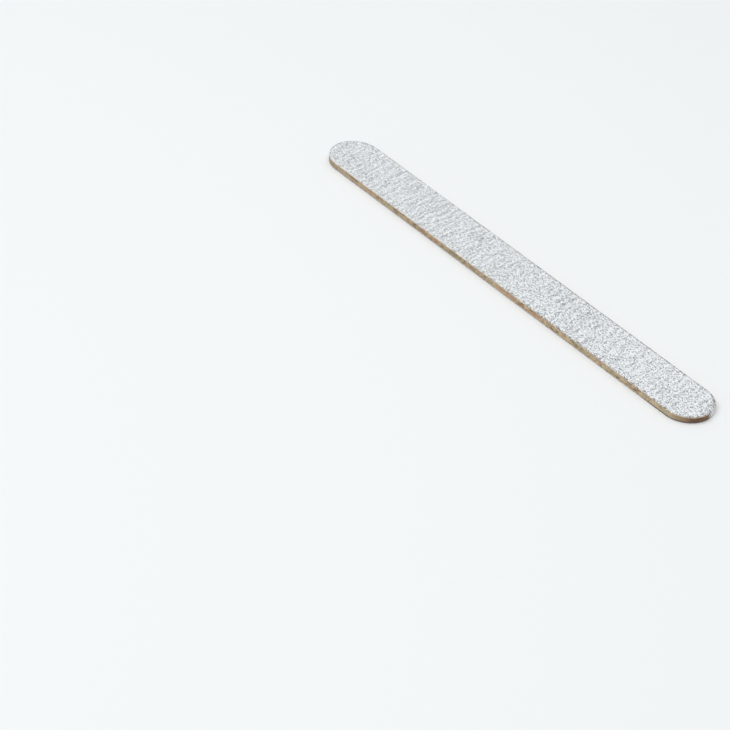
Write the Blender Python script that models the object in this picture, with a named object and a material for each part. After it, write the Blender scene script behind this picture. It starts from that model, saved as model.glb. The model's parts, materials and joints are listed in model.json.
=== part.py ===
"""A double-sided nail file: a thin laminated board with full round ends.

Units are metres. +X runs along the file, +Y across it and +Z up through its
layers. The origin is the middle of the underside, so the file lies on Z = 0
with its fine side down and its coarse side up.
"""

import math

import bpy

# The board.
FILE_LENGTH = 0.178
FILE_WIDTH = 0.018

# Thickness of each layer. The paper, its grit and its pale coat differ only
# in the grit: coarse grains need a thicker coat than fine ones.
WOOD_THICKNESS = 0.0015
GLUE_THICKNESS = 0.00006
PAPER_THICKNESS = 0.00022
COARSE_GRIT_THICKNESS = 0.00020
FINE_GRIT_THICKNESS = 0.00012
PALE_COAT_THICKNESS = 0.00006

# Straight steps in each half-round end.
END_STEPS = 40

# One material a layer: linear base colour, roughness and metallic value.
MATERIALS = {
    "bare_wood": ((0.52, 0.33, 0.17), 0.75, 0.0),
    "dried_glue": ((0.44, 0.30, 0.15), 0.45, 0.0),
    "backing_paper": ((0.68, 0.57, 0.42), 0.85, 0.0),
    "coarse_grit": ((0.060, 0.056, 0.054), 0.60, 0.0),
    "fine_grit": ((0.085, 0.080, 0.080), 0.60, 0.0),
    "light_grey_coat": ((0.64, 0.67, 0.69), 0.90, 0.0),
    "mid_grey_coat": ((0.42, 0.42, 0.44), 0.90, 0.0),
}

# The layers from the underside up: name, thickness and material.
LAYERS = (
    ("fine_pale_coat", PALE_COAT_THICKNESS, "mid_grey_coat"),
    ("fine_grit_coat", FINE_GRIT_THICKNESS, "fine_grit"),
    ("fine_side_paper", PAPER_THICKNESS, "backing_paper"),
    ("fine_side_glue", GLUE_THICKNESS, "dried_glue"),
    ("wood_core", WOOD_THICKNESS, "bare_wood"),
    ("coarse_side_glue", GLUE_THICKNESS, "dried_glue"),
    ("coarse_side_paper", PAPER_THICKNESS, "backing_paper"),
    ("coarse_grit_coat", COARSE_GRIT_THICKNESS, "coarse_grit"),
    ("coarse_pale_coat", PALE_COAT_THICKNESS, "light_grey_coat"),
)


def clear_scene():
    for obj in list(bpy.data.objects):
        bpy.data.objects.remove(obj, do_unlink=True)


def make_collection(name):
    collection = bpy.data.collections.new(name)
    bpy.context.scene.collection.children.link(collection)
    return collection


def make_material(name, base_color, roughness, metallic):
    material = bpy.data.materials.new(name)
    material.use_nodes = True
    material.diffuse_color = (*base_color, 1.0)
    shader = material.node_tree.nodes["Principled BSDF"]
    shader.inputs["Base Color"].default_value = (*base_color, 1.0)
    shader.inputs["Roughness"].default_value = roughness
    shader.inputs["Metallic"].default_value = metallic
    return material


def board_outline(length, width, steps):
    """Points round the board's plan: two half circles as wide as the board, joined by straight sides."""
    radius = width / 2
    centre_x = length / 2 - radius
    points = []
    for side in (1, -1):
        for step in range(steps + 1):
            angle = math.pi * (step / steps - 1 / 2)
            x = side * (centre_x + radius * math.cos(angle))
            y = side * radius * math.sin(angle)
            points.append((x, y))
    return points


def make_layer(name, outline, thickness, bottom, material, parent, collection):
    """A flat filled outline, extruded both ways by half the layer's thickness."""
    curve = bpy.data.curves.new(name, "CURVE")
    curve.dimensions = "2D"
    curve.fill_mode = "BOTH"
    curve.extrude = thickness / 2
    curve.materials.append(material)
    spline = curve.splines.new("POLY")
    spline.points.add(len(outline) - 1)
    for point, (x, y) in zip(spline.points, outline):
        point.co = (x, y, 0, 1)
    spline.use_cyclic_u = True
    layer = bpy.data.objects.new(name, curve)
    layer.location.z = bottom + thickness / 2
    layer.parent = parent
    collection.objects.link(layer)
    return layer


def build_nail_file():
    clear_scene()
    parts = make_collection("nail_file")
    root = bpy.data.objects.new("nail_file_origin", None)
    parts.objects.link(root)
    materials = {
        name: make_material(name, *finish) for name, finish in MATERIALS.items()
    }
    outline = board_outline(FILE_LENGTH, FILE_WIDTH, END_STEPS)
    bottom = 0
    for name, thickness, material in LAYERS:
        make_layer(
            name, outline, thickness, bottom, materials[material], root, parts
        )
        bottom += thickness


build_nail_file()
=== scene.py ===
import json
import math

import bmesh
import bpy
from bpy.props import FloatProperty, FloatVectorProperty, PointerProperty
from mathutils import Matrix, Vector

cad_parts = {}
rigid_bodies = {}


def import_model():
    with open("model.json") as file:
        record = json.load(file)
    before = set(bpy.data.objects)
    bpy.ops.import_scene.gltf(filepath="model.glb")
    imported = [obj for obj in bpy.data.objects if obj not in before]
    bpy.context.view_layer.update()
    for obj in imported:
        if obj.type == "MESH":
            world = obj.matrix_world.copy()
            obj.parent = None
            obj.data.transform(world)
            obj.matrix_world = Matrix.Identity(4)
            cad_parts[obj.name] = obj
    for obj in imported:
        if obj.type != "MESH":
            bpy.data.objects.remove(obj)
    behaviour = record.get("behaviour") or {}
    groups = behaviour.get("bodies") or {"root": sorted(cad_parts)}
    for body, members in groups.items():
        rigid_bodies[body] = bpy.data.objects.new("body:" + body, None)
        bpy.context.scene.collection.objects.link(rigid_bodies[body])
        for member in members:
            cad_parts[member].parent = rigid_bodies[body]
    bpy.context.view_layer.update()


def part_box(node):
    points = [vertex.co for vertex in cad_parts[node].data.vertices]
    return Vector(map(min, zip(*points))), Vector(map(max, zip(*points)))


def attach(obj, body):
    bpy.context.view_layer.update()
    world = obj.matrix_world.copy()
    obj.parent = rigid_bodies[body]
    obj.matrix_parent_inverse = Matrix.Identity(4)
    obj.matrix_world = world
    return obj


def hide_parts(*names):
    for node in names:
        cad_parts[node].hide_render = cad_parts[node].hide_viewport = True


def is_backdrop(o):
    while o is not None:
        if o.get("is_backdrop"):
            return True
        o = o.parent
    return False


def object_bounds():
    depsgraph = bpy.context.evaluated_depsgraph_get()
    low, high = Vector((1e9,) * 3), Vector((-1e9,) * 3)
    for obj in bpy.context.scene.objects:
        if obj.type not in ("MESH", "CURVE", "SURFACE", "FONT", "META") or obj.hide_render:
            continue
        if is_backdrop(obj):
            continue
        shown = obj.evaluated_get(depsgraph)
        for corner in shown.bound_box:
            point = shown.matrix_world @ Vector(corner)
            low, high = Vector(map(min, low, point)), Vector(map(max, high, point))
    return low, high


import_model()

bl_info = {
    "name": "Nail File",
    "version": (1, 0, 0),
    "blender": (4, 5, 0),
    "location": "View3D > Sidebar > Nail File",
    "description": "Builds a double-sided nail file: a wood core with abrasive paper on both faces",
    "category": "Object",
}

BODY = "root"
CORE_LOW, CORE_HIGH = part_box("wood_core")

# Points of a mesh closer than this are one point.
JOIN_DISTANCE = 2e-7


# Settings


def distance(name, description, default):
    return FloatProperty(
        name=name, description=description, default=default, precision=6, subtype="DISTANCE", unit="LENGTH"
    )


def share(name, description, default):
    return FloatProperty(
        name=name, description=description, default=default, min=0.0, max=1.0, subtype="FACTOR"
    )


def amount(name, description, default):
    return FloatProperty(name=name, description=description, default=default, precision=4)


def power(name, description, default):
    return FloatProperty(name=name, description=description, default=default, unit="POWER")


def place(name, description, default):
    return FloatVectorProperty(
        name=name, description=description, default=default, subtype="XYZ", unit="LENGTH"
    )


def direction(name, description, default):
    return FloatVectorProperty(name=name, description=description, default=default, subtype="DIRECTION")


def colour(name, description, default):
    return FloatVectorProperty(
        name=name, description=description, default=default, size=3, min=0.0, max=1.0, subtype="COLOR"
    )


class BoardSettings(bpy.types.PropertyGroup):
    """Sizes of the laminated board and of its cut edge"""

    length: distance("Length", "Length of the file", CORE_HIGH.x - CORE_LOW.x)
    width: distance("Width", "Width of the file", CORE_HIGH.y - CORE_LOW.y)
    edge_step: distance("Edge Step", "Length of one step along the cut edge", 0.00016)
    groove_depth: distance("Groove Depth", "How far the wood fibres stand in and out of the cut", 0.000035)
    groove_length: distance("Groove Length", "Length of a wood fibre groove", 0.006)
    groove_height: distance("Groove Height", "Height of a wood fibre groove", 0.00011)
    nick_depth: distance("Nick Depth", "Depth of the marks the cutter left across the wood", 0.00003)
    rim_drop: distance("Rim Drop", "How far the cutter rounded each face down at its rim", 0.00005)
    rim_reach: distance("Rim Reach", "How far in from the cut edge the face starts to turn down", 0.00034)
    paper_fray: distance("Paper Fray", "How far the paper's fibres stand in and out of the cut", 0.00003)
    dust_reach: distance("Dust Reach", "How far pale cutting dust is dragged over the cut edge", 0.00075)
    glue_wander: distance("Glue Wander", "How far the glue film runs in and out of the cut", 0.00003)


# The settings of a face: kind, name, description, and the values of the coarse and of the fine face.
FACE_SETTINGS = (
    (distance, "Cell", "Size of one cell of the coat's surface", 0.0002, 0.0002),
    (distance, "Streak Height", "Height of the coat's ridges over its hollows", 0.00002, 0.000015),
    (distance, "Streak Width", "Width of one streak across the file", 0.0007, 0.0005),
    (distance, "Streak Length", "Length of one streak across the file", 0.0070, 0.0050),
    (share, "Streak Share", "How much the streaks show beside the clumps", 0.44, 0.75),
    (share, "Streak Fade", "How far the streaks give way to clumps at the +X end", 0.12, 0.0),
    (distance, "Streak Bow", "How far the streaks swing out of line", 0.0008, 0.003),
    (distance, "Ripple Spacing", "From one ripple across the file to the next", 0.0025, 0.0019),
    (share, "Ripple Share", "How much of the streaks comes in even ripples", 0.5, 0.45),
    (distance, "Clump Size", "Size of the clumps in the coat", 0.0006, 0.00045),
    (distance, "Coat Inset", "How far the pale coat stops short of the cut edge", 0.00004, 0.00006),
    (distance, "Coat Fray", "How ragged the pale coat's edge is", 0.0001, 0.00012),
    (distance, "Grain Size", "Size of one abrasive grain", 0.00024, 0.00016),
    (distance, "Grain Spacing", "Least distance between two coated grains", 0.0003, 0.0003),
    (distance, "Grain Stand", "How far the tallest grains stand out of the coat", 0.000088, 0.000035),
    (amount, "Bare Grains", "Bare grains on a square millimetre of the face", 0.03, 0.2),
    (amount, "Bare Build-up", "How many times more bare grains there are at the +X end", 8.0, 1.0),
    (amount, "Rim Grains", "Bare grains on a square millimetre of the cut edge", 5.0, 18.0),
)


def key_of(name):
    """A setting's name as code writes it."""
    return name.lower().replace(" ", "_").replace("-", "_")


def face_settings(column):
    """The settings of one face: column 0 is the coarse one, and column 1 the fine one."""
    return {key_of(name): kind(name, text, values[column]) for kind, name, text, *values in FACE_SETTINGS}


class CoarseFaceSettings(bpy.types.PropertyGroup):
    """Sizes of the coarse upper face"""

    __annotations__ = face_settings(0)


class FineFaceSettings(bpy.types.PropertyGroup):
    """Sizes of the fine lower face"""

    __annotations__ = face_settings(1)


class FinishSettings(bpy.types.PropertyGroup):
    """Colours of the file's materials"""

    coarse_coat: colour("Coarse Coat", "Ridges of the coarse face's pale coat", (0.915, 0.955, 0.985))
    coarse_hollow: colour("Coarse Hollow", "Hollows of the coarse face's pale coat", (0.29, 0.318, 0.33))
    fine_coat: colour("Fine Coat", "Ridges of the fine face's coat", (0.84, 0.845, 0.845))
    fine_hollow: colour("Fine Hollow", "Hollows of the fine face's coat", (0.22, 0.215, 0.21))
    coarse_grit: colour("Coarse Grit", "The coarse abrasive grains and their binder", (0.055, 0.050, 0.047))
    fine_grit: colour("Fine Grit", "The fine abrasive grains and their binder", (0.075, 0.068, 0.066))
    wood_light: colour("Light Wood", "The wood's pale growth", (0.62, 0.49, 0.33))
    wood_dark: colour("Dark Wood", "The wood's dark growth lines", (0.195, 0.127, 0.070))
    wood_end: colour("End Grain", "The wood cut across its grain at the round ends", (0.30, 0.155, 0.085))
    paper: colour("Backing Paper", "The cream backing paper", (0.84, 0.73, 0.55))
    glue: colour("Glue", "The dried glue", (0.25, 0.152, 0.077))


class StudioSettings(bpy.types.PropertyGroup):
    """The floor, the light and the camera"""

    floor_colour: colour("Floor", "Colour of the floor", (0.89, 0.91, 0.915))
    floor_width: distance("Floor Width", "Width of the floor", 6.0)
    sky_colour: colour("Sky", "Colour of the light from all round", (0.985, 0.995, 1.0))
    sky_strength: amount("Sky Strength", "Strength of the light from all round", 0.50)
    lamp_power: power("Lamp Power", "Power of the large lamp overhead", 12.9)
    lamp_size: distance("Lamp Size", "Width of the large lamp overhead", 1.3)
    lamp_place: place("Lamp Place", "Where the large lamp hangs", (-0.14, -0.52, 1.37))
    fill_power: power("Fill Power", "Power of the small lamp behind", 1.8)
    fill_size: distance("Fill Size", "Width of the small lamp behind", 0.8)
    fill_place: place("Fill Place", "Where the small lamp hangs", (0.0, 0.70, 1.20))
    camera_place: place("Camera Place", "Where the camera stands", (0.6340787, -0.6850768, 0.6419862))
    camera_gaze: direction(
        "Camera Gaze", "Which way the camera looks", (-0.57515959, 0.56518519, -0.5914027)
    )
    camera_up: direction(
        "Camera Up", "Which way is up in the camera's picture", (-0.5069997, 0.32107329, 0.79991452)
    )
    camera_lens: FloatProperty(
        name="Camera Lens", description="Focal length of the camera", default=172.603, unit="CAMERA"
    )
    camera_sensor: FloatProperty(
        name="Camera Sensor", description="Width of the camera's sensor", default=36.0, unit="CAMERA"
    )


# Node trees


class Flow:
    """A number inside a node tree. Arithmetic on it adds the Math nodes that work it out."""

    def __init__(self, tree, socket):
        self.tree = tree
        self.socket = socket

    def maths(self, operation, *others, clamp=False):
        made = self.tree.nodes.new("ShaderNodeMath")
        made.operation = operation
        made.use_clamp = clamp
        for socket, value in zip(made.inputs, (self, *others)):
            connect(self.tree, socket, value)
        return Flow(self.tree, made.outputs[0])

    def __add__(self, other):
        return self.maths("ADD", other)

    def __sub__(self, other):
        return self.maths("SUBTRACT", other)

    def __mul__(self, other):
        return self.maths("MULTIPLY", other)

    def __truediv__(self, other):
        return self.maths("DIVIDE", other)

    def __neg__(self):
        return self.maths("MULTIPLY", -1.0)

    def __abs__(self):
        return self.maths("ABSOLUTE")

    def at_most(self, other):
        return self.maths("MINIMUM", other)

    def at_least(self, other):
        return self.maths("MAXIMUM", other)

    def above(self, other):
        return self.maths("GREATER_THAN", other)

    def below(self, other):
        return self.maths("LESS_THAN", other)

    def clamped(self):
        return self.maths("ADD", 0.0, clamp=True)

    def rest(self):
        """What is left of 1."""
        return self * -1.0 + 1.0

    def between(self, low, high, first=0.0, last=1.0, kind="LINEAR"):
        """Maps low..high onto first..last and holds the ends."""
        made = add(
            self.tree, "ShaderNodeMapRange",
            {"Value": self, "From Min": low, "From Max": high, "To Min": first, "To Max": last},
            interpolation_type=kind,
        )
        return Flow(self.tree, made.outputs[0])


def connect(tree, socket, value):
    if isinstance(value, Flow):
        tree.links.new(value.socket, socket)
    elif isinstance(value, bpy.types.NodeSocket):
        tree.links.new(value, socket)
    else:
        socket.default_value = value


def add(tree, kind, inputs=None, **settings):
    """Adds a node with its settings, and fills its inputs with values or links."""
    made = tree.nodes.new(kind)
    for name, value in settings.items():
        setattr(made, name, value)
    for key, value in (inputs or {}).items():
        connect(tree, made.inputs[key], value)
    return made


def point(tree, x, y, z):
    return add(tree, "ShaderNodeCombineXYZ", {0: x, 1: y, 2: z}).outputs[0]


def coordinates(tree, socket):
    made = add(tree, "ShaderNodeSeparateXYZ", {0: socket})
    return [Flow(tree, output) for output in made.outputs]


def noise(tree, where, scale=1.0, detail=2.0, roughness=0.5):
    made = add(
        tree, "ShaderNodeTexNoise",
        {"Vector": where, "Scale": scale, "Detail": detail, "Roughness": roughness},
    )
    return Flow(tree, made.outputs[0])


def pattern(tree, x, y, size, seed, **kind):
    """Noise over the board's plan, with cells of this size along and across the file."""
    return noise(tree, point(tree, x / size[0], y / size[1], seed), **kind)


def new_shape_tree(name, numbers, whole_numbers, objects=()):
    """A Geometry Nodes tree with named inputs, a material among them, and those inputs by name."""
    tree = bpy.data.node_groups.new(name, "GeometryNodeTree")
    tree.is_modifier = True
    tree.interface.new_socket("Geometry", in_out="OUTPUT", socket_type="NodeSocketGeometry")
    labels = {"Float": numbers, "Int": whole_numbers, "Object": objects, "Material": ("Material",)}
    for kind, group in labels.items():
        for label in group:
            tree.interface.new_socket(label, in_out="INPUT", socket_type="NodeSocket" + kind)
    start = tree.nodes.new("NodeGroupInput")
    return tree, {label: Flow(tree, start.outputs[label]) for group in labels.values() for label in group}


def end_shape_tree(tree, geometry, material):
    """Makes copies real and gives the material, as the tree's last two steps."""
    real = add(tree, "GeometryNodeRealizeInstances", {"Geometry": geometry})
    dressed = add(tree, "GeometryNodeSetMaterial", {"Geometry": real.outputs[0], "Material": material})
    finish = tree.nodes.new("NodeGroupOutput")
    connect(tree, finish.inputs[0], dressed.outputs[0])
    return tree


def keep_number(tree, geometry, name, value, domain="POINT"):
    """Stores a number on the geometry under a name that the material reads."""
    return add(
        tree, "GeometryNodeStoreNamedAttribute",
        {"Geometry": geometry, "Name": name, "Value": value},
        data_type="FLOAT", domain=domain,
    ).outputs[0]


def move_to(tree, geometry, where, selection=True):
    return add(
        tree, "GeometryNodeSetPosition",
        {"Geometry": geometry, "Selection": selection, "Position": where},
    ).outputs[0]


def current_place(tree):
    """Where each point of the geometry lies when it is asked."""
    return coordinates(tree, add(tree, "GeometryNodeInputPosition").outputs[0])


def random_vector(tree, low, high, seed):
    made = add(
        tree, "FunctionNodeRandomValue", {"Min": low, "Max": high, "Seed": seed}, data_type="FLOAT_VECTOR"
    )
    return made.outputs["Value"]


def plan_of_board(tree, run, across, length, width):
    """Where a point lies on the board: run goes from end to end along the outline, across from side to side.

    Returns x, y and the outline's outward direction there.
    """
    radius = width * 0.5
    flat = length * 0.5 - radius
    past = (abs(run) - flat).at_least(0.0)
    bend = past / radius
    end = run.maths("SIGN")
    sine, cosine = bend.maths("SINE"), bend.maths("COSINE")
    x = end * (abs(run).at_most(flat) + radius * sine)
    return x, across * radius * cosine, end * sine, cosine


def half_run(length, width):
    """Half of the way from one end to the other along the outline."""
    return (length - width) * 0.5 + width * (math.pi / 4)


# Cell size of the marks that the cutter left across the wood, along and across the file.
NICK_SIZE = (0.0005, 0.0005)


def cut_layer_tree():
    """One layer of the board as the cutter left it: its outline, with the cut edge's grooves and fray."""
    tree, given = new_shape_tree("cut_layer", (
        "Length", "Width", "Thickness", "Bottom", "Inset", "Wander", "Wander Length",
        "Tooth", "Tooth Length", "Tooth Height", "Nick", "Rim Face", "Rim Reach", "Seed",
    ), ("Steps", "Rows"))
    length, width = given["Length"], given["Width"]
    sheet = add(tree, "GeometryNodeMeshGrid", {
        "Size X": 2.0, "Size Y": 1.0,
        "Vertices X": given["Steps"] * 2.0 + 1.0, "Vertices Y": given["Rows"] + 1.0,
    })

    # The flat grid's X goes once round the board, and its Y goes up through the layer.
    round_trip, up, _ = current_place(tree)
    run = (abs(round_trip) * 2.0 - 1.0) * half_run(length, width)
    side = round_trip.maths("SIGN")
    x, y, out_x, out_y = plan_of_board(tree, run, side, length, width)
    out_y = out_y * side
    z = given["Bottom"] + (up + 0.5) * given["Thickness"]

    # Each pattern adds a number of its own to the seed, so that no two run alike.
    seed = given["Seed"]
    slow = pattern(tree, x, y, (given["Wander Length"], given["Wander Length"]), seed)
    fast = noise(tree, point(
        tree, x / given["Tooth Length"], y / given["Tooth Length"], z / given["Tooth Height"] + seed,
    ), detail=3.0, roughness=0.6)
    mark = pattern(tree, x, y, NICK_SIZE, seed + 7.0, detail=0.0)
    out = (
        (slow - 0.5) * 2.0 * given["Wander"]
        + (fast - 0.5) * 3.0 * given["Tooth"]
        - given["Nick"] * mark.between(0.72, 0.84) * abs(up * 2.0).between(0.6, 0.95, 1.0, 0.0)
        - given["Inset"] - given["Rim Reach"] * (up * given["Rim Face"]).between(0.12, 0.5)
    )
    marked = keep_number(tree, sheet.outputs[0], "end_grain", abs(out_x))
    edge = move_to(tree, marked, point(tree, x + out_x * out, y + out_y * out, z))
    return end_shape_tree(tree, edge, given["Material"])


# The settings of a face that shape its pale coat.
COAT_SETTINGS = (
    "Streak Height", "Streak Width", "Streak Length", "Streak Share", "Streak Fade", "Streak Bow",
    "Ripple Spacing", "Ripple Share", "Clump Size", "Coat Inset", "Coat Fray",
)

# Cell sizes of the patterns that shape the pale coat, along and across the file.
BOW_SIZE = (0.006, 0.005)
WAVER_SIZE = (0.002, 0.0016)
SLIP_SIZE = (0.004, 0.005)
SWELL_SIZE = (0.003, 0.004)
FRAY_SIZE = (0.00035, 0.00035)
SWEEP_SIZE = (0.004, 0.004)
MOTTLE_SIZE = (0.00025, 0.00025)

# How the streaks lean along the file for each metre across it.
STREAK_LEAN = 0.12

# How far in from the cut edge the coat's fray begins.
FRAY_REACH = 0.0006

# The coat's least thickness over its hidden side, away from the rim.
COAT_SKIN = 0.000005

# A length too small to matter, which keeps a division from zero.
TINY = 1e-9


def coat_tree():
    """The pale coat over one face: a thin skin with streaks and clumps, ragged at the cut edge."""
    tree, given = new_shape_tree("pale_coat", (
        "Length", "Width", "Hidden Side", "Face", *COAT_SETTINGS, "Rim Drop", "Rim Reach", "Seed",
    ), ("Cells Along", "Cells Across"))
    length, width = (given[name] - given["Coat Inset"] * 2.0 for name in ("Length", "Width"))
    sheet = add(tree, "GeometryNodeMeshGrid", {
        "Size X": 2.0, "Size Y": 2.0,
        "Vertices X": given["Cells Along"] + 1.0, "Vertices Y": given["Cells Across"] + 1.0,
    })
    along, across, _ = current_place(tree)
    x, y, _, _ = plan_of_board(tree, along * half_run(length, width), across, length, width)
    flat_skin = move_to(tree, sheet.outputs[0], point(tree, x, y, 0.0))
    flat_skin = add(tree, "GeometryNodeMergeByDistance", {
        "Geometry": flat_skin, "Distance": JOIN_DISTANCE,
    }).outputs[0]

    # From here on the sheet lies in plan, so x and y are read afresh.
    x, y, _ = current_place(tree)
    flat = (length - width) * 0.5
    core_x = x.at_least(-flat).at_most(flat)
    out_x, out_y = x - core_x, y
    reach = (out_x * out_x + out_y * out_y).maths("SQRT").at_least(TINY)
    near_edge = (reach - width * 0.5).between(-FRAY_REACH, 0.0, kind="SMOOTHSTEP")
    drop = (reach - width * 0.5 + given["Rim Reach"]).at_least(0.0) / given["Rim Reach"]
    drop = drop * drop * given["Rim Drop"]

    # Streaks run across the file and bow, partly in even ripples. Clumps lie between them.
    seed = given["Seed"]
    bow = pattern(tree, x, y, BOW_SIZE, seed, detail=1.0) - 0.5
    waver = pattern(tree, x, y, WAVER_SIZE, seed + 3.0, detail=1.0) - 0.5
    bent_x = x + bow * given["Streak Bow"] + waver * (given["Streak Bow"] * 0.3) + y * STREAK_LEAN
    streak_size = (given["Streak Width"], given["Streak Length"])
    lines = pattern(tree, bent_x, y, streak_size, seed + 5.0, detail=1.5, roughness=0.45)
    slip = pattern(tree, x, y, SLIP_SIZE, seed + 21.0, detail=1.0) - 0.5
    swell = pattern(tree, x, y, SWELL_SIZE, seed + 25.0, detail=1.0).between(0.35, 0.65)
    ripple = ((bent_x / given["Ripple Spacing"] + slip * 1.6) * math.tau).maths("SINE") * swell * 0.5 + 0.5
    streak = lines.between(0.30, 0.70) * given["Ripple Share"].rest() + ripple * given["Ripple Share"]
    clump_size = (given["Clump Size"], given["Clump Size"])
    clump = pattern(tree, x, y, clump_size, seed + 9.0, roughness=0.55).between(0.28, 0.72)
    towards_end = (x / given["Length"]).between(-0.25, 0.45, kind="SMOOTHSTEP")
    streaky = given["Streak Share"] * (towards_end * given["Streak Fade"]).rest()
    relief = (streak - 0.5) * streaky + (clump - 0.5) * streaky.rest() + 0.5

    fray = pattern(tree, x, y, FRAY_SIZE, seed + 13.0, roughness=0.6) - 0.5
    sweep = pattern(tree, x, y, SWEEP_SIZE, seed + 17.0, detail=0.0) - 0.5
    push = (fray * 2.4 + sweep * 1.6) * given["Coat Fray"] * near_edge / reach
    height = relief * given["Streak Height"] + COAT_SKIN - drop
    top = given["Hidden Side"] + height * given["Face"]
    skin = keep_number(tree, flat_skin, "relief", relief)
    mottle = pattern(tree, x, y, MOTTLE_SIZE, seed + 29.0, detail=0.0)
    skin = keep_number(tree, skin, "shade", mottle.between(0.25, 0.75, 0.0, 0.45))
    skin = move_to(tree, skin, point(tree, x + out_x * push, y + out_y * push, top))

    # The rim, where an edge has one face only, is turned down to the hidden side.
    faces_there = add(tree, "GeometryNodeInputMeshEdgeNeighbors").outputs[0]
    rim = Flow(tree, faces_there).below(1.5)
    walled = add(tree, "GeometryNodeExtrudeMesh", {
        "Mesh": skin, "Selection": rim, "Offset Scale": 0.0,
    }, mode="EDGES")
    x, y, _ = current_place(tree)
    foot = given["Hidden Side"] - given["Rim Drop"] * given["Face"]
    closed = move_to(tree, walled.outputs[0], point(tree, x, y, foot), selection=walled.outputs["Top"])
    return end_shape_tree(tree, closed, given["Material"])


# How far a grain's corners are crushed out of a ball one unit wide.
CRUSH = 0.15

# Least and most size of a grain along, across and in height, as shares of its size.
SMALLEST_GRAIN = (0.75, 0.8, 0.7)
LARGEST_GRAIN = (1.25, 1.2, 1.0)


def grain_tree():
    """Abrasive grains set in a surface: crushed, sharp and turned every way."""
    tree, given = new_shape_tree("abrasive_grains", (
        "Face", "Grain Size", "Spacing", "Density", "Build-up", "Half Length", "Rim",
        "Proud", "Tilt", "Height",
    ), ("Corners", "Seed"), objects=("Surface",))
    carrier = add(tree, "GeometryNodeObjectInfo", {"Object": given["Surface"]}).outputs["Geometry"]
    x, _, _ = current_place(tree)
    _, _, facing = coordinates(tree, add(tree, "GeometryNodeInputNormal").outputs[0])
    on_face = (facing * given["Face"]).above(0.6)
    on_rim = abs(facing).below(0.5)
    chosen = on_face * given["Rim"].rest() + on_rim * given["Rim"]
    towards_end = (x / given["Half Length"]).between(-0.5, 0.9, kind="SMOOTHSTEP")
    crowding = (given["Build-up"] - 1.0) * towards_end + 1.0
    scattered = add(tree, "GeometryNodeDistributePointsOnFaces", {
        "Mesh": carrier, "Selection": chosen.above(0.5), "Distance Min": given["Spacing"],
        "Density Max": given["Density"] * given["Build-up"],
        "Density Factor": crowding / given["Build-up"], "Seed": given["Seed"],
    }, distribute_method="POISSON")
    ball = add(tree, "GeometryNodeMeshUVSphere", {
        "Segments": given["Corners"], "Rings": given["Corners"] - 2.0, "Radius": 0.5,
    })
    broken = random_vector(tree, (-CRUSH, -CRUSH, 0.0), (CRUSH, CRUSH, 0.0), given["Seed"])
    crystal = add(tree, "GeometryNodeSetPosition", {"Geometry": ball.outputs[0], "Offset": broken})
    tilt, height = given["Tilt"], given["Height"]
    turned = random_vector(
        tree, point(tree, -tilt, -tilt, 0.0), point(tree, tilt, tilt, math.tau), given["Seed"])
    least, most = SMALLEST_GRAIN, LARGEST_GRAIN
    stretched = random_vector(
        tree, point(tree, least[0], least[1], height * least[2]),
        point(tree, most[0], most[1], height * most[2]), given["Seed"] + 1.0)
    sized = add(tree, "ShaderNodeVectorMath", {
        "Vector": stretched, "Scale": given["Grain Size"],
    }, operation="SCALE")
    placed = add(tree, "GeometryNodeInstanceOnPoints", {
        "Points": scattered.outputs["Points"], "Instance": crystal.outputs[0],
        "Rotation": turned, "Scale": sized.outputs[0],
    }).outputs[0]
    shade = add(tree, "FunctionNodeRandomValue", {"Seed": given["Seed"] + 2.0}, data_type="FLOAT")
    placed = keep_number(tree, placed, "shade", shade.outputs[1], domain="INSTANCE")
    sunk = add(tree, "GeometryNodeTranslateInstances", {
        "Instances": placed, "Translation": point(tree, 0.0, 0.0, given["Proud"] * given["Face"]),
        "Local Space": False,
    })
    return end_shape_tree(tree, sunk.outputs[0], given["Material"])


def grow(name, tree, values):
    """Runs a tree and keeps what it makes as a plain, closed mesh."""
    piece = bpy.data.objects.new(name, bpy.data.meshes.new(name))
    bpy.context.scene.collection.objects.link(piece)
    shape = piece.modifiers.new("shape", "NODES")
    shape.node_group = tree
    left = dict(values)
    for item in tree.interface.items_tree:
        if item.item_type == "SOCKET" and item.in_out == "INPUT":
            shape[item.identifier] = left.pop(item.name)
    if left:
        raise ValueError(f"{name} has no input named {sorted(left)}")
    graph = bpy.context.evaluated_depsgraph_get()
    mesh = bpy.data.meshes.new_from_object(
        piece.evaluated_get(graph), preserve_all_data_layers=True, depsgraph=graph
    )
    piece.modifiers.remove(shape)
    piece.data = mesh
    mesh.name = name
    close_shell(mesh)
    return piece


def close_shell(mesh):
    """Joins doubles, fills the open ends and turns every face outwards."""
    shell = bmesh.new()
    shell.from_mesh(mesh)
    bmesh.ops.remove_doubles(shell, verts=shell.verts, dist=JOIN_DISTANCE)
    open_edges = [edge for edge in shell.edges if edge.is_boundary]
    if open_edges:
        bmesh.ops.holes_fill(shell, edges=open_edges, sides=0)
    bmesh.ops.recalc_face_normals(shell, faces=shell.faces)
    if shell.calc_volume(signed=True) < 0.0:
        bmesh.ops.reverse_faces(shell, faces=shell.faces)
    bad = [edge for edge in shell.edges if len(edge.link_faces) != 2]
    if bad:
        raise ValueError(f"{mesh.name} has {len(bad)} open edges")
    shell.to_mesh(mesh)
    shell.free()


# Materials

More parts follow.
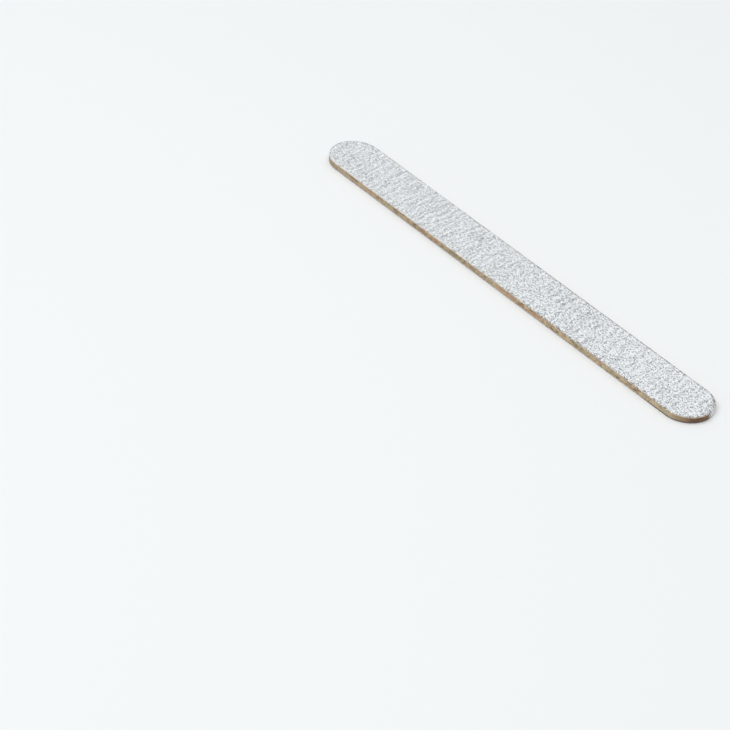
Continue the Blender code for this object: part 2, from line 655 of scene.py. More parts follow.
# Linear colours that the finishes mix in beside those of the settings.
# Dark specks and torn lines, and also the painted shade on the far side of the rim.
DARK_SPECK_AND_SHADE = (0.10, 0.09, 0.085)
# The heaped coat's colour, which also paints a highlight on the near side of the rim.
HEAPED_COAT_HIGHLIGHT = (0.97, 0.925, 0.86)
SMOOTH_END_DUST = (0.62, 0.635, 0.645)
TORN_END_DUST = (0.90, 0.905, 0.90)
# Painted highlight and painted shade: the smear on the rim, lit on the near side and shaded on the far side.
LIT_NEAR_SMEAR = (0.90, 0.885, 0.85)
SHADED_FAR_SMEAR = (0.42, 0.43, 0.435)
GRAIN_GLINT = (0.26, 0.24, 0.22)
GREYED_DARK = (0.17, 0.14, 0.10)
GREYED_LIGHT = (0.50, 0.44, 0.335)
WARM_WOOD = (0.50, 0.295, 0.185)
OLIVE_WOOD = (0.40, 0.345, 0.195)
BURNT_WOOD = (0.05, 0.03, 0.022)

# How fine each even pattern is, in cells to a metre.
COAT_DUST = 2700.0
COAT_POWDER = 6500.0
COAT_CLOUDS = 70.0
COAT_PITS = 1700.0
RIM_CHIPS = 800.0
RIM_HEAPS = 1100.0
STONE_MOTTLE = 5200.0
BED_RUNS = 1500.0
WOOD_DOTS = 5200.0
PAPER_STAINS = 160.0
GLUE_RUNS = 900.0
FLOOR_WEAVE = 240.0

# How fine each drawn-out pattern is, in cells to a metre along, across and up through the board.
TORN_LINES = (450.0, 1700.0, 300.0)
END_ROUGHNESS = (900.0, 900.0, 2500.0)
DUST_DRAG = (1300.0, 1300.0, 1500.0)
WOOD_BANDS = (45.0, 45.0, 2300.0)
WOOD_LINES = (110.0, 110.0, 6500.0)
WOOD_PORES = (700.0, 700.0, 16000.0)
WOOD_PATCHES = (38.0, 38.0, 90.0)
WOOD_FLECKS = (260.0, 260.0, 1000.0)
WOOD_SPECKS = (700.0, 700.0, 1200.0)
WOOD_CUTS = (3500.0, 3500.0, 350.0)
WOOD_WARMTH = (140.0, 140.0, 420.0)
WOOD_BURNS = (520.0, 520.0, 900.0)
PAPER_FIBRES = (1500.0, 1500.0, 14000.0)

# Where a finish changes along the file, as shares of half its length.
# Where the coat's painted light towards +X grows.
TIP_LIGHT_AND_WEAR_GROWS = (-0.6, 0.4)
COAT_LIGHTENS = (0.3, 0.7)
BED_BARES = (-0.15, 0.35)
TIP = (0.925, 0.945)
FAR_END = (-0.97, -0.93)

# Where the far side of the rim, with its painted shade, begins and is whole, as shares of half the width.
FAR_SIDE = (-0.7, 0.7)

# How far the rim's wear and painted shade reach in from the cut edge: all round, and further towards +X
# and where the tip is torn. They fade over a strip of their own, and the heaped coat with its painted
# highlight lies between two distances.
RIM_WEAR_AND_SHADE_REACH = 0.00022
TIP_WEAR_AND_SHADE_REACH = 0.00016
TORN_REACH = 0.0005
RIM_WEAR_AND_SHADE_FADE = 0.0003
HEAP_REACH = (0.0001, 0.0006)

# Where a finish changes along the file, in metres.
LEFT_END_DUST = (-0.0866, -0.0828)
RIGHT_END_DUST = (0.0850, 0.0868)
DUST_THINS = (-0.04, 0.085)
DUST_AT_TIP = (0.068, 0.082)
STAINS_GROW = (-0.065, -0.025)
WOOD_LIGHTENS = (0.03, 0.07)
GREY_FADES = (-0.085, 0.02)
WARMTH_GROWS = (-0.08, 0.03)
WARMTH_FADES = (0.03, 0.075)
BURNS_GROW = (0.05, 0.085)
END_GRAIN_SHOWS = (-0.085, 0.0)

# Where a finish changes across the file, in metres.
RIGHT_END_DUST_ACROSS = (0.0004, 0.0026)
# Where the smear's painted highlight gives way to painted shade.
SMEAR_DARKENS = (-0.006, 0.006)

# Height of the pale line along the foot of the wood.
WOOD_FOOT = 0.0003


def new_finish(name):
    """A material with its tree, its shader, the object's own coordinates and these one by one."""
    material = bpy.data.materials.new(name)
    material.use_nodes = True
    tree = material.node_tree
    where = add(tree, "ShaderNodeTexCoord").outputs["Object"]
    return material, tree, tree.nodes["Principled BSDF"], where, coordinates(tree, where)


def kept(tree, name):
    """A number that the shape's tree stored under this name."""
    made = add(tree, "ShaderNodeAttribute", attribute_name=name)
    return Flow(tree, made.outputs["Fac"])


def blend(tree, factor, first, last):
    """first where factor is 0, and last where it is 1."""
    made = add(tree, "ShaderNodeMix", data_type="RGBA")
    connect(tree, made.inputs[0], factor)
    connect(tree, made.inputs[6], first if not isinstance(first, tuple) else (*first, 1.0))
    connect(tree, made.inputs[7], last if not isinstance(last, tuple) else (*last, 1.0))
    return made.outputs[2]


def shaded(base, ratio):
    return tuple(channel * ratio for channel in base)


def grained(tree, spot, fineness, **kind):
    """Noise drawn out along the board's own directions."""
    return noise(tree, point(tree, *(way * fine for way, fine in zip(spot, fineness))), **kind)


def dress(tree, shader, skin, dullness, height, depth, strength):
    """Gives the shader its colour, its roughness and the relief that is too fine to model."""
    connect(tree, shader.inputs["Base Color"], skin)
    connect(tree, shader.inputs["Roughness"], dullness.clamped())
    bump = add(tree, "ShaderNodeBump", {"Height": height, "Distance": depth, "Strength": strength})
    connect(tree, shader.inputs["Normal"], bump.outputs[0])


def gap_to_edge(x, y, half_length, half_width):
    """How far a point of the face lies in from the cut edge."""
    past = (abs(x) - (half_length - half_width)).at_least(0.0)
    return (past * past + y * y).maths("SQRT") * -1.0 + half_width


def coat_finish(name, ridge, hollow, half_length, half_width, facts):
    """A matt pale coat: light on its ridges, thin in its hollows, with bare specks and wear at its rim,
    painted lighter towards +X for how the light falls there, with painted shade on the rim's far side and a
    painted highlight on its near side.
    """
    material, tree, shader, where, (x, y, _) = new_finish(name)
    relief, shade, rim = kept(tree, "relief"), kept(tree, "shade"), facts["rim"]
    along = x / half_length
    tip_light_and_wear = along.between(*TIP_LIGHT_AND_WEAR_GROWS, kind="SMOOTHSTEP") * facts["tip_light_and_wear_share"]
    dust = noise(tree, where, COAT_DUST, detail=1.0)
    powder = noise(tree, where, COAT_POWDER, detail=1.0)
    clouds = noise(tree, where, COAT_CLOUDS)
    pits = noise(tree, where, COAT_PITS, detail=1.0).between(0.61, 0.67)

    # Light where the coat stands high. Towards +X it is painted lighter and every pattern shows more:
    # painted light, for how the light falls on that end.
    tone = (
        (relief - 0.5) * (tip_light_and_wear * 0.6 + 1.0) * facts["contrast"]
        + (dust - 0.5) * (tip_light_and_wear * 1.3 + 2.6)
        + (shade - 0.5) * (tip_light_and_wear * 1.2 + 1.0)
        + (clouds - 0.5) * 0.1
        + tip_light_and_wear * 0.52
        + along.between(*COAT_LIGHTENS) * facts["tip_light_and_wear_share"] * 0.12
        + 0.83
        - pits * (tip_light_and_wear * 1.6 + 0.15)
    )
    deep = blend(tree, powder.between(0.3, 0.7), shaded(hollow, 0.72), shaded(hollow, 1.22))
    skin = blend(tree, tone.clamped(), deep, ridge)
    skin = blend(tree, pits * tip_light_and_wear * 0.45, skin, DARK_SPECK_AND_SHADE)

    # The rim is worn in chips, and the cutter tore it in lines at the +X tip. On the far (+Y) side and at
    # the -X end the rim is painted darker, a painted shade where it turns away from the lamp. On the near
    # side a heaped pale coat carries a painted highlight where the rim turns towards the lamp.
    gap = gap_to_edge(x, y, half_length, half_width)
    round_chips = noise(tree, where, RIM_CHIPS, roughness=0.6).between(0.52, 0.56)
    torn = grained(tree, (x, y, 0.0), TORN_LINES, detail=1.0).between(0.55, 0.61)
    at_tip = along.between(*TIP)
    chips = round_chips * at_tip.rest() + torn * at_tip
    reach = at_tip * TORN_REACH + tip_light_and_wear * TIP_WEAR_AND_SHADE_REACH + RIM_WEAR_AND_SHADE_REACH
    rim_line = (gap - reach).between(0.0, RIM_WEAR_AND_SHADE_FADE, 1.0, 0.0)
    # Painted shade: the far side of the rim and the -X end are darkened where they turn away from the lamp.
    far_side = (y / half_width).between(*FAR_SIDE).at_least(along.between(*FAR_END, 1.0, 0.0))
    # Chips are wear; the far side's share is painted shade, and the rim's own share is wear with painted
    # shade on the fine side.
    worn_and_shaded = rim_line * (chips * (tip_light_and_wear * rim["chipped"] + 0.42) + far_side * rim["far"] + rim["worn_and_shaded"])
    heaps = noise(tree, where, RIM_HEAPS, detail=1.0).between(0.42, 0.58)
    # Painted highlight: pale heaped coat, lit up on the near side of the rim only.
    heaped_highlight = gap.between(*HEAP_REACH, 1.0, 0.0) * far_side.rest() * heaps * rim["heaped_highlight"]
    skin = blend(tree, heaped_highlight, skin, HEAPED_COAT_HIGHLIGHT)
    skin = blend(tree, worn_and_shaded.clamped(), skin, DARK_SPECK_AND_SHADE)
    dress(tree, shader, skin, dust * 0.25 + 0.68, dust * 0.6 + powder * 0.4, depth=0.00006, strength=0.55)
    shader.inputs["Specular IOR Level"].default_value = 0.25
    return material


def end_dusted(tree, spot, skin):
    """Grey dust over the cut edge at both ends: smooth at -X, and torn in dark lines past the tip at +X."""
    x, y, _ = spot
    rough = grained(tree, spot, END_ROUGHNESS, roughness=0.6)
    torn = grained(tree, spot, TORN_LINES, detail=1.0).between(0.55, 0.63)
    left = x.between(*LEFT_END_DUST, 1.0, 0.0)
    right = x.between(*RIGHT_END_DUST) * y.between(*RIGHT_END_DUST_ACROSS)
    cover = left * 1.6 + right * 2.2 + (rough - 0.5) * 2.0 - 0.5
    dust = blend(tree, right, SMOOTH_END_DUST, TORN_END_DUST)
    dust = blend(tree, right * torn, dust, DARK_SPECK_AND_SHADE)
    return blend(tree, cover.clamped() * 0.95, skin, dust)


def face_dusted(tree, spot, skin, face_height, reach, facts):
    """Dust that the cutter dragged from the coat over the cut edge: dense by the face, ragged below it. On
    the fine side it is dark and also paints the shadow along the file's foot, with more of it at the +X tip.
    """
    x, _, z = spot
    dust = facts["dust"]
    drag = grained(tree, spot, DUST_DRAG, detail=3.0, roughness=0.6)
    thinner = x.between(*DUST_THINS) * dust["thins"]
    depth = abs(z - face_height) / reach
    cover = (drag - 0.5) * dust["ragged"] + 0.75 - thinner - depth + x.between(*DUST_AT_TIP) * dust["tip"]
    return blend(tree, (cover * 2.2).clamped() * 0.92, skin, facts["edge_coat"])


def bed_finish(name, grit, half_length, facts):
    """Grit and binder at the cut edge, with the pale coat run over it in places."""
    material, tree, shader, where, spot = new_finish(name)
    x, y, _ = spot
    towards_end = (x / half_length).between(*BED_BARES, kind="SMOOTHSTEP")
    runs = noise(tree, where, BED_RUNS, detail=3.0, roughness=0.65)
    mottle = noise(tree, where, STONE_MOTTLE)
    pale = (runs - towards_end * facts["bed"]["barer"] - facts["bed"]["bare"]).between(0.0, 0.08)
    stone = blend(tree, mottle.between(0.3, 0.7), grit, shaded(grit, 2.6))

    # Where the bed turns up at the rim, the coat smeared on it is painted light on the near side and dark on
    # the far side: a painted highlight and painted shade.
    _, _, facing = coordinates(tree, add(tree, "ShaderNodeNewGeometry").outputs["Normal"])
    lit_and_shaded_smear = blend(tree, y.between(*SMEAR_DARKENS), LIT_NEAR_SMEAR, SHADED_FAR_SMEAR)
    smear = blend(tree, abs(facing).between(0.15, 0.6), facts["edge_coat"], lit_and_shaded_smear)
    skin = end_dusted(tree, spot, blend(tree, pale * 0.9, stone, smear))
    dress(tree, shader, skin, mottle * 0.4 + 0.45, mottle, depth=0.00004, strength=0.6)
    return material


def grain_finish(name, base):
    """Bare abrasive grains, a few of them lighter than the rest."""
    material, tree, shader, where, _ = new_finish(name)
    shade = kept(tree, "shade")
    mottle = noise(tree, where, STONE_MOTTLE)
    tone = shade * shade * shade * 0.8 + (mottle - 0.5) * 0.4
    skin = blend(tree, tone.clamped(), base, GRAIN_GLINT)
    dress(tree, shader, skin, mottle * 0.4 + 0.3, mottle, depth=0.00003, strength=0.5)
    return material


def wood_finish(name, light, dark, end):
    """Bare cut wood: growth lines, pores and stains, greyer at the -X end, and end grain round the ends."""
    material, tree, shader, where, spot = new_finish(name)
    x, _, z = spot
    bands = grained(tree, spot, WOOD_BANDS)
    lines = grained(tree, spot, WOOD_LINES, detail=3.0, roughness=0.6)
    pores = grained(tree, spot, WOOD_PORES, detail=1.0)
    patches = grained(tree, spot, WOOD_PATCHES)
    flecks = grained(tree, spot, WOOD_FLECKS, detail=1.0)
    specks = grained(tree, spot, WOOD_SPECKS, detail=3.0, roughness=0.65)
    cuts = grained(tree, spot, WOOD_CUTS, detail=1.0).between(0.70, 0.78)
    tone = (
        bands.between(0.38, 0.62) * 0.42
        + lines.between(0.38, 0.62) * 0.34
        + pores.between(0.30, 0.6) * 0.24
        + patches.between(0.35, 0.65) * 0.42
        + (flecks - 0.5) * x.between(*STAINS_GROW, 0.55, 1.3)
        + (specks - 0.5) * x.between(*STAINS_GROW, 1.8, 4.0)
        + x.between(*WOOD_LIGHTENS, 0.0, 0.16)
        - 0.20
        + z.between(CORE_LOW.z, CORE_LOW.z + WOOD_FOOT, 0.5, 0.0)
        - cuts * 0.45
    ).clamped()

    # The wood along its grain: greyed at -X, then with warm and olive stretches.
    greyed = blend(tree, tone, GREYED_DARK, GREYED_LIGHT)
    along_grain = blend(tree, x.between(*GREY_FADES, 0.42, 0.0), blend(tree, tone, dark, light), greyed)
    warmth = grained(tree, spot, WOOD_WARMTH)
    warm = warmth.between(0.52, 0.62) * x.between(*WARMTH_GROWS, 0.25, 0.75)
    warm = warm * x.between(*WARMTH_FADES, 1.0, 0.25)
    along_grain = blend(tree, warm, along_grain, WARM_WOOD)
    along_grain = blend(tree, warmth.between(0.36, 0.47, 1.0, 0.0) * 0.6, along_grain, OLIVE_WOOD)

    # The wood across its grain: dotted with pores, and burnt by the cutter at the +X tip.
    dots = noise(tree, where, WOOD_DOTS, roughness=0.7)
    across_grain = blend(tree, dots.between(0.35, 0.7), (end[0] * 0.55, end[1] * 0.5, end[2] * 0.5), end)
    burn = grained(tree, spot, WOOD_BURNS).between(0.50, 0.60)
    across_grain = blend(tree, burn * x.between(*BURNS_GROW, 0.0, 0.75), across_grain, BURNT_WOOD)

    crossing = kept(tree, "end_grain").between(0.12, 0.85) * x.between(*END_GRAIN_SHOWS, 0.35, 0.92)
    skin = end_dusted(tree, spot, blend(tree, crossing, along_grain, across_grain))
    height = lines * 0.6 + pores * 0.2 + dots * 0.2
    dress(tree, shader, skin, dots * 0.3 + 0.6, height, depth=0.00008, strength=0.7)
    shader.inputs["Specular IOR Level"].default_value = 0.3
    return material


def paper_finish(name, base, face_height, reach, facts):
    """Backing paper at the cut edge: fibres, stains and the dust dragged over them, which on the fine side
    also paints the shadow along the file's foot.
    """
    material, tree, shader, where, spot = new_finish(name)
    fibres = grained(tree, spot, PAPER_FIBRES, roughness=0.6)
    stains = noise(tree, where, PAPER_STAINS)
    tone = fibres.between(0.3, 0.7) * 0.7 + stains.between(0.3, 0.7) * 0.3
    skin = blend(tree, tone.clamped(), shaded(base, 0.7), base)
    skin = end_dusted(tree, spot, face_dusted(tree, spot, skin, face_height, reach, facts))
    dress(tree, shader, skin, fibres * 0.2 + 0.78, fibres, depth=0.00004, strength=0.7)
    return material


def glue_finish(name, base):
    """Dried glue that ran unevenly."""
    material, tree, shader, where, spot = new_finish(name)
    runs = noise(tree, where, GLUE_RUNS, detail=3.0, roughness=0.6)
    skin = end_dusted(tree, spot, blend(tree, runs.between(0.3, 0.7), shaded(base, 0.6), base))
    dress(tree, shader, skin, runs * 0.3 + 0.35, runs, depth=0.00002, strength=0.5)
    return material


def floor_finish(name, base):
    """A plain pale matt floor."""
    material, tree, shader, where, _ = new_finish(name)
    weave = noise(tree, where, FLOOR_WEAVE, detail=3.0)
    connect(tree, shader.inputs["Base Color"], blend(tree, weave, shaded(base, 0.995), base))
    connect(tree, shader.inputs["Roughness"], (weave * 0.1 + 0.7).clamped())
    shader.inputs["Specular IOR Level"].default_value = 0.2
    return material


# Pieces

# What differs between the two sides of the file:
# face is which way the side looks, and seed starts its patterns.
# paper is how light its paper is beside the paper's colour, and the next colour is the dust dragged over the
# cut, which on the fine side is dark and also paints the shadow along the file's foot.
# contrast is how strongly the coat's relief shows, and the next share is how much the coat is painted
# lighter and more patterned towards +X, a painted light for how the light falls on that end, and how much
# more its rim wears there.
# dust is the drag over the paper: its reach as a share of the board's, how it thins towards +X,
# how much comes back at the tip and how ragged it is.
# bed is how much of the grit shows at the cut edge, and how much more of it towards +X.
# rim is how worn the face's rim is all round (with painted shade on the fine side), how chipped towards +X,
# how much painted shade darkens it on the far side, and how much heaped coat with a painted highlight lies
# on its near side.
SIDES = {
    "coarse": {
        "face": 1.0, "seed": 30, "coat_slot": "light_grey_coat", "grit_slot": "coarse_grit",
        "paper": 1.0, "edge_coat": (0.83, 0.74, 0.615), "contrast": 2.3, "tip_light_and_wear_share": 1.0,
        "dust": {"reach": 1.0, "thins": 0.6, "tip": 0.0, "ragged": 5.5},
        "bed": {"bare": 0.40, "barer": 0.10},
        "rim": {"worn_and_shaded": 0.0, "chipped": 1.1, "far": 0.30, "heaped_highlight": 0.95},
    },
    "fine": {
        "face": -1.0, "seed": 60, "coat_slot": "mid_grey_coat", "grit_slot": "fine_grit",
        # The fine side's dark dust, its dust at the tip and its rim's wear also paint the shadow along the
        # file's foot.
        "paper": 1.13, "edge_coat": (0.09, 0.082, 0.078), "contrast": 3.4, "tip_light_and_wear_share": 0.0,
        "dust": {"reach": 0.60, "thins": 0.0, "tip": 1.0, "ragged": 1.4},
        "bed": {"bare": 0.60, "barer": 0.0},
        "rim": {"worn_and_shaded": 0.60, "chipped": 0.0, "far": 0.0, "heaped_highlight": 0.0},
    },
}

# What holds for the cut edge of every layer unless its own kind says otherwise.
SMOOTH_EDGE = {
    "Inset": 0.0, "Wander": 0.0, "Wander Length": 0.006, "Nick": 0.0, "Rim Face": 0.0, "Rim Reach": 0.0,
}

# How the cut edge of each kind of layer wanders and frays, beside what the settings say.
WOOD_EDGE = {"Inset": 0.00003, "Wander": 0.00003, "Wander Length": 0.012}
PAPER_EDGE = {"Wander": 0.00002, "Tooth Length": 0.0005, "Tooth Height": 0.00008}
GLUE_EDGE = {"Wander Length": 0.003, "Tooth": 0.00002, "Tooth Length": 0.0006, "Tooth Height": 0.0001}
BED_EDGE = {"Inset": 0.00002, "Wander": 0.00002}

# Rows of faces up through each kind of layer.
WOOD_ROWS = 15
PAPER_ROWS = 4
GLUE_ROWS = 2
BED_ROWS = 3

# Depth and length of the grit bed's teeth as shares of the grain size, and how far it turns down
# at the rim as a share of the face's own reach.
BED_TOOTH_SHARE = 0.22
BED_TOOTH_LENGTH_SHARE = 0.8
BED_RIM_SHARE = 0.4

# Height, greatest tilt and corners of each kind of grain. On a face a flatter grain is tilted less,
# and on the rim the grains are turned every way.
GRAIN_HEIGHT = 0.75
GRAIN_TILT = 0.4
CHIP_HEIGHT = 0.4
COATED_GRAIN = {"Height": GRAIN_HEIGHT, "Tilt": GRAIN_TILT, "Corners": 4}
BARE_CHIP = {"Height": CHIP_HEIGHT, "Tilt": GRAIN_TILT * CHIP_HEIGHT / GRAIN_HEIGHT, "Corners": 6}
RIM_GRAIN = {"Height": 1.1, "Tilt": math.pi, "Corners": 5, "Spacing": 0.00008, "Proud": 0.0, "Build-up": 2.2}

# Square millimetres in a square metre, and coated grains tried on one before their spacing thins them.
SQUARE_MILLIMETRES = 1e6
COATED_DENSITY = 9e6


def settle(piece, slot, *nodes):
    """Puts a finished piece on the file's body, in place of the CAD nodes it stands for."""
    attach(piece, BODY)
    if nodes:
        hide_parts(*nodes)


def side_settings(context, side):
    return getattr(context.scene, f"nail_file_{side}_face")


def paint(context, name):
    """A colour of the finish settings, by its name."""
    return tuple(getattr(context.scene.nail_file_finish, name))


def steps_along(board, step):
    """How many steps of this length go from one end of the board to the other along its outline."""
    return round((board.length + board.width * (math.pi / 2 - 1)) / step)


def lay(context, name, node, slot, tree, material, rows, seed, edge):
    """Builds the dressed form of one CAD layer and puts it in the layer's place."""
    board = context.scene.nail_file_board
    low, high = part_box(node)
    piece = grow(name, tree, {
        "Length": board.length, "Width": board.width, "Thickness": high.z - low.z, "Bottom": low.z,
        "Steps": steps_along(board, board.edge_step), "Rows": rows, "Seed": float(seed),
        "Material": material, **SMOOTH_EDGE, **edge,
    })
    settle(piece, slot, node)


class NAIL_FILE_OT_wood_core(bpy.types.Operator):
    """Build the wood core, with its grain and cutter marks on the cut edge"""

    bl_idname = "nail_file.wood_core"
    bl_label = "Wood Core"

    def execute(self, context):
        board = context.scene.nail_file_board
        colours = [paint(context, name) for name in ("wood_light", "wood_dark", "wood_end")]
        wood = wood_finish("bare_wood_grain", *colours)
        edge = {
            **WOOD_EDGE, "Nick": board.nick_depth, "Tooth": board.groove_depth,
            "Tooth Length": board.groove_length, "Tooth Height": board.groove_height,
        }
        lay(context, "wood_core_strip", "wood_core", "bare_wood", cut_layer_tree(), wood, WOOD_ROWS, 1, edge)
        return {"FINISHED"}


class NAIL_FILE_OT_backing_papers(bpy.types.Operator):
    """Build the two backing papers, with fibres at the cut edge"""

    bl_idname = "nail_file.backing_papers"
    bl_label = "Backing Papers"

    def execute(self, context):
        board = context.scene.nail_file_board
        tree = cut_layer_tree()
        for seed, (side, facts) in enumerate(SIDES.items(), 11):
            node = f"{side}_side_paper"
            low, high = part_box(f"{side}_pale_coat")
            paper = paper_finish(
                f"{side}_backing_paper", shaded(paint(context, "paper"), facts["paper"]),
                high.z if facts["face"] > 0 else low.z, board.dust_reach * facts["dust"]["reach"], facts)
            edge = {**PAPER_EDGE, "Tooth": board.paper_fray}
            lay(context, node + "_sheet", node, "backing_paper", tree, paper, PAPER_ROWS, seed, edge)
        return {"FINISHED"}


class NAIL_FILE_OT_glue_films(bpy.types.Operator):
    """Build the two films of glue between paper and wood"""

    bl_idname = "nail_file.glue_films"
    bl_label = "Glue Films"

    def execute(self, context):
        board = context.scene.nail_file_board
        tree, glue = cut_layer_tree(), glue_finish("brown_dried_glue", paint(context, "glue"))
        for seed, side in enumerate(SIDES, 21):
            node = f"{side}_side_glue"
            edge = {**GLUE_EDGE, "Wander": board.glue_wander}
            lay(context, node + "_film", node, "dried_glue", tree, glue, GLUE_ROWS, seed, edge)
        return {"FINISHED"}


class NAIL_FILE_OT_grit_beds(bpy.types.Operator):
    """Build the bed of grit and binder on each paper, jagged at the cut edge"""

    bl_idname = "nail_file.grit_beds"
    bl_label = "Grit Beds"

    def execute(self, context):
        board = context.scene.nail_file_board
        tree = cut_layer_tree()
        for side, facts in SIDES.items():
            grain = side_settings(context, side).grain_size
            grit = bed_finish(
                f"{side}_grit_binder", paint(context, f"{side}_grit"), board.length * 0.5, facts)
            edge = {
                **BED_EDGE, "Rim Face": facts["face"], "Rim Reach": board.rim_reach * BED_RIM_SHARE,
                "Tooth": grain * BED_TOOTH_SHARE, "Tooth Length": grain * BED_TOOTH_LENGTH_SHARE,
                "Tooth Height": grain * BED_TOOTH_LENGTH_SHARE,
            }
            lay(
                context, f"{side}_grit_bed", f"{side}_grit_coat", facts["grit_slot"], tree, grit,
                BED_ROWS, facts["seed"], edge)
        return {"FINISHED"}


class NAIL_FILE_OT_pale_coats(bpy.types.Operator):
    """Build the pale coat over each face, with its streaks and clumps"""

    bl_idname = "nail_file.pale_coats"
    bl_label = "Pale Coats"

    def execute(self, context):
        board = context.scene.nail_file_board
        tree = coat_tree()
        for side, facts in SIDES.items():
            face = side_settings(context, side)
            skin = coat_finish(
                f"{side}_pale_skin", paint(context, f"{side}_coat"), paint(context, f"{side}_hollow"),
                board.length * 0.5, board.width * 0.5, facts)
            low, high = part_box(f"{side}_pale_coat")
            piece = grow(f"{side}_coat_skin", tree, {
                "Length": board.length, "Width": board.width,
                "Hidden Side": low.z if facts["face"] > 0 else high.z, "Face": facts["face"],
                "Cells Along": steps_along(board, face.cell), "Cells Across": round(board.width / face.cell),
                **{name: getattr(face, key_of(name)) for name in COAT_SETTINGS},
                "Rim Drop": board.rim_drop, "Rim Reach": board.rim_reach,
                "Seed": float(facts["seed"]), "Material": skin,
            })
            settle(piece, facts["coat_slot"], f"{side}_pale_coat")
        return {"FINISHED"}


class NAIL_FILE_OT_grains(bpy.types.Operator):
    """Set the abrasive grains: coated and bare ones on the faces, bare ones along the rims"""

    bl_idname = "nail_file.grains"
    bl_label = "Abrasive Grains"

    def execute(self, context):
        board = context.scene.nail_file_board
        tree = grain_tree()
        for side, facts in SIDES.items():
            face = side_settings(context, side)
            skin, bed = bpy.data.objects[f"{side}_coat_skin"], bpy.data.objects[f"{side}_grit_bed"]
            bare = grain_finish(f"{side}_bare_grain", paint(context, f"{side}_grit"))
            on_face = {"Surface": skin, "Rim": 0.0, "Spacing": face.grain_spacing}
            coated = {
                **on_face, **COATED_GRAIN, "Material": skin.data.materials[0],
                "Density": COATED_DENSITY, "Build-up": 1.0,
            }
            chips = {
                **on_face, **BARE_CHIP, "Material": bare,
                "Density": face.bare_grains * SQUARE_MILLIMETRES, "Build-up": face.bare_build_up,
            }
            on_rim = {
                **RIM_GRAIN, "Surface": bed, "Rim": 1.0, "Material": bare,
                "Density": face.rim_grains * SQUARE_MILLIMETRES,
            }

            # Name, size as a share of the face's grain size, slot and values of each kind.
            kinds = (
                ("large_coated_grains", 1.25, "coat_slot", coated),
                ("middling_coated_grains", 1.0, "coat_slot", coated),
                ("small_coated_grains", 0.75, "coat_slot", coated),
                ("bare_grains", 1.7, "grit_slot", chips),
                ("rim_grains", 0.75, "grit_slot", on_rim),
            )
            for number, (label, ratio, slot, values) in enumerate(kinds):
                size = face.grain_size * ratio
                sunk = min(face.grain_stand - size * values["Height"] * 0.5, 0.0)
                piece = grow(f"{side}_{label}", tree, {
                    "Face": facts["face"], "Half Length": board.length * 0.5, "Grain Size": size,
                    "Proud": sunk, "Seed": facts["seed"] + number, **values,
                })
                settle(piece, facts[slot])
        return {"FINISHED"}


# Stage

# Nearest and furthest that the camera sees.
CAMERA_CLIP = (0.01, 20.0)


def aimed_at_file(name, data, stand):
    """A lamp that hangs at this place and shines at the file."""
    lamp = bpy.data.objects.new(name, data)
    lamp.location = stand
    lamp.rotation_mode = "QUATERNION"
    lamp.rotation_quaternion = (-stand).to_track_quat("-Z", "Y")
    return lamp


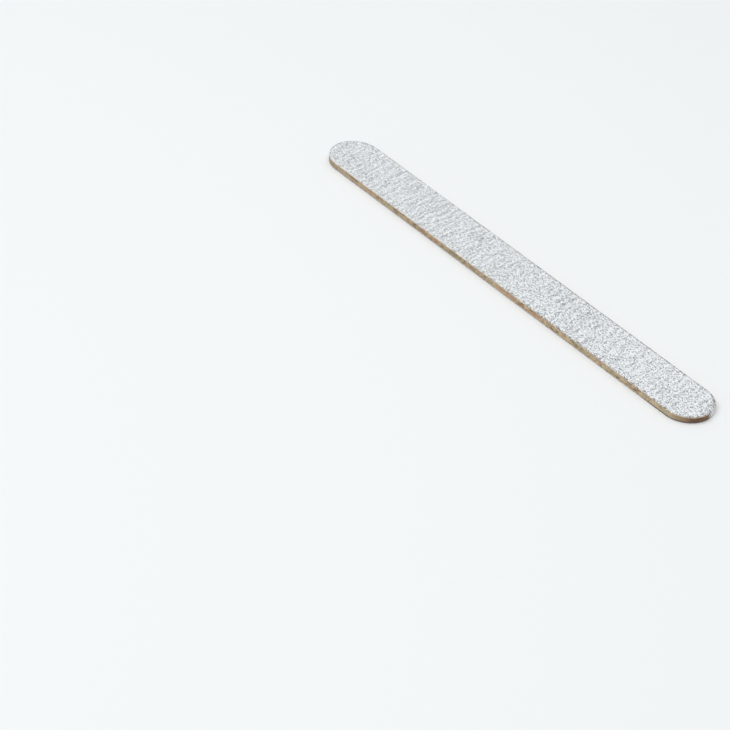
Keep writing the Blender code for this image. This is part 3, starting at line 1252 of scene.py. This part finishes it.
class NAIL_FILE_OT_studio(bpy.types.Operator):
    """Build the floor, the lights and the camera"""

    bl_idname = "nail_file.studio"
    bl_label = "Studio"

    def execute(self, context):
        scene, studio = context.scene, context.scene.nail_file_studio
        scene.view_settings.view_transform = "Standard"

        floor_mesh = bpy.data.meshes.new("studio_floor")
        half = studio.floor_width * 0.5
        corners = [(-half, -half, 0.0), (half, -half, 0.0), (half, half, 0.0), (-half, half, 0.0)]
        floor_mesh.from_pydata(corners, [], [(0, 1, 2, 3)])
        floor_mesh.materials.append(floor_finish("pale_floor", tuple(studio.floor_colour)))
        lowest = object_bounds()[0][2]
        floor_mesh.transform(Matrix.Translation((0.0, 0.0, min(lowest, 0.0))))
        floor = bpy.data.objects.new("studio_floor", floor_mesh)
        scene.collection.objects.link(floor)
        floor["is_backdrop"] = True

        world = bpy.data.worlds.new("studio_sky")
        world.use_nodes = True
        sky = world.node_tree.nodes["Background"]
        sky.inputs["Color"].default_value = (*studio.sky_colour, 1.0)
        sky.inputs["Strength"].default_value = studio.sky_strength
        scene.world = world

        for label in ("lamp", "fill"):
            lamp_data = bpy.data.lights.new(f"studio_{label}", "AREA")
            lamp_data.size = getattr(studio, f"{label}_size")
            lamp_data.energy = getattr(studio, f"{label}_power")
            stand = Vector(getattr(studio, f"{label}_place"))
            scene.collection.objects.link(aimed_at_file(f"studio_{label}", lamp_data, stand))

        camera_data = bpy.data.cameras.new("studio_camera")
        camera_data.sensor_width = studio.camera_sensor
        camera_data.lens = studio.camera_lens
        camera_data.clip_start, camera_data.clip_end = CAMERA_CLIP
        camera = bpy.data.objects.new("studio_camera", camera_data)
        gaze, up = Vector(studio.camera_gaze).normalized(), Vector(studio.camera_up)
        right = gaze.cross(up).normalized()
        turn = Matrix((right, right.cross(gaze), -gaze)).transposed()
        camera.matrix_world = Matrix.Translation(studio.camera_place) @ turn.to_4x4()
        scene.collection.objects.link(camera)
        scene.camera = camera
        return {"FINISHED"}


# Panel and registration


class NAIL_FILE_PT_sidebar(bpy.types.Panel):
    """Settings and build steps of the nail file"""

    bl_idname = "NAIL_FILE_PT_sidebar"
    bl_label = "Nail File"
    bl_space_type = "VIEW_3D"
    bl_region_type = "UI"
    bl_category = "Nail File"

    def draw(self, context):
        for pointer, settings in GROUPS.items():
            box = self.layout.box()
            box.label(text=settings.__doc__)
            for name in settings.__annotations__:
                box.prop(getattr(context.scene, pointer), name)
        for step in STEPS:
            self.layout.operator(step.bl_idname)


GROUPS = {
    "nail_file_board": BoardSettings,
    "nail_file_coarse_face": CoarseFaceSettings,
    "nail_file_fine_face": FineFaceSettings,
    "nail_file_finish": FinishSettings,
    "nail_file_studio": StudioSettings,
}
STEPS = (
    NAIL_FILE_OT_wood_core,
    NAIL_FILE_OT_glue_films,
    NAIL_FILE_OT_backing_papers,
    NAIL_FILE_OT_grit_beds,
    NAIL_FILE_OT_pale_coats,
    NAIL_FILE_OT_grains,
    NAIL_FILE_OT_studio,
)


def register():
    for kind in (*GROUPS.values(), *STEPS, NAIL_FILE_PT_sidebar):
        bpy.utils.register_class(kind)
    for pointer, settings in GROUPS.items():
        setattr(bpy.types.Scene, pointer, PointerProperty(type=settings))


def unregister():
    for pointer in GROUPS:
        delattr(bpy.types.Scene, pointer)
    for kind in reversed((*GROUPS.values(), *STEPS, NAIL_FILE_PT_sidebar)):
        bpy.utils.unregister_class(kind)


def main():
    register()
    bpy.ops.nail_file.wood_core()
    bpy.ops.nail_file.glue_films()
    bpy.ops.nail_file.backing_papers()
    bpy.ops.nail_file.grit_beds()
    bpy.ops.nail_file.pale_coats()
    bpy.ops.nail_file.grains()
    bpy.ops.nail_file.studio()


if __name__ == "__main__":
    main()
